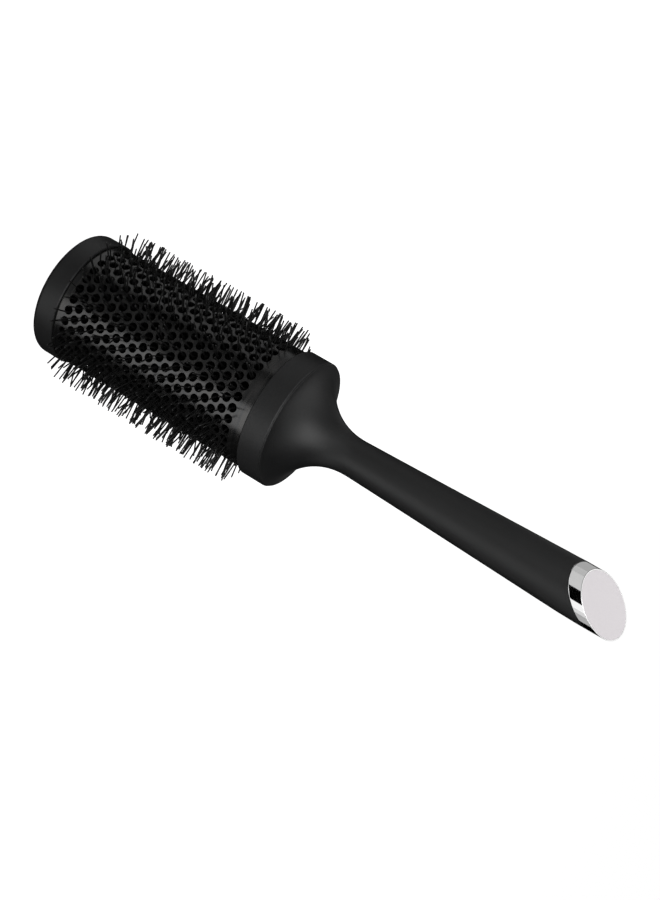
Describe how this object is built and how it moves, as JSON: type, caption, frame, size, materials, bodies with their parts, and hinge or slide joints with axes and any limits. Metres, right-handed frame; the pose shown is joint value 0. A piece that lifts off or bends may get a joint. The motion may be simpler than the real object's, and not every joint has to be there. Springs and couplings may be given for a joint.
{
  "type": "round hair brush",
  "caption": "Round thermal hair brush: a vented metal barrel with radial bristle tufts, end cap, collar, and a flared soft-grip handle with a slanted polished metal end.",
  "frame": {"origin": "centre of the flat outer face of the end cap, which the brush stands on", "axes": "+Z along the brush axis, from the end cap to the handle; +X towards the high side of the slanted handle end"},
  "size_m": [0.0736, 0.0736, 0.2773],
  "materials": {
    "cap_plastic": "fine-textured black moulded plastic",
    "inner_plastic": "plain black moulded plastic, inside",
    "barrel_metal": "glossy dark ceramic coating on aluminium",
    "core_wire": "drawn galvanised wire",
    "sleeve_brass": "plain turned brass",
    "soft_grip": "soft-touch matt black",
    "polished_end": "mirror-polished plating",
    "spigot_metal": "plain turned aluminium",
    "satin_plate": "fine satin, slightly warm silver",
    "bristle_nylon": "black nylon filament with rounded tips"
  },
  "bodies": {
    "root": {"end_cap": "cap_plastic", "tip_hub": "inner_plastic", "barrel": "barrel_metal", "wire_a": "core_wire", "wire_b": "core_wire", "collar": "cap_plastic", "barrel_plug": "inner_plastic", "core_sleeve": "sleeve_brass", "handle_core": "inner_plastic", "handle_grip": "soft_grip", "ferrule": "polished_end", "ferrule_spigot": "spigot_metal", "face_plate": "satin_plate", "bristle_ring_01": "bristle_nylon", "bristle_ring_02": "bristle_nylon", "bristle_ring_03": "bristle_nylon", "bristle_ring_04": "bristle_nylon", "bristle_ring_05": "bristle_nylon", "bristle_ring_06": "bristle_nylon", "bristle_ring_07": "bristle_nylon", "bristle_ring_08": "bristle_nylon", "bristle_ring_09": "bristle_nylon", "bristle_ring_10": "bristle_nylon", "bristle_ring_11": "bristle_nylon", "bristle_ring_12": "bristle_nylon", "bristle_ring_13": "bristle_nylon", "bristle_ring_14": "bristle_nylon", "bristle_ring_15": "bristle_nylon", "bristle_ring_16": "bristle_nylon", "bristle_ring_17": "bristle_nylon", "bristle_ring_18": "bristle_nylon", "bristle_ring_19": "bristle_nylon", "bristle_ring_20": "bristle_nylon", "bristle_ring_21": "bristle_nylon"}
  },
  "joints": []
}
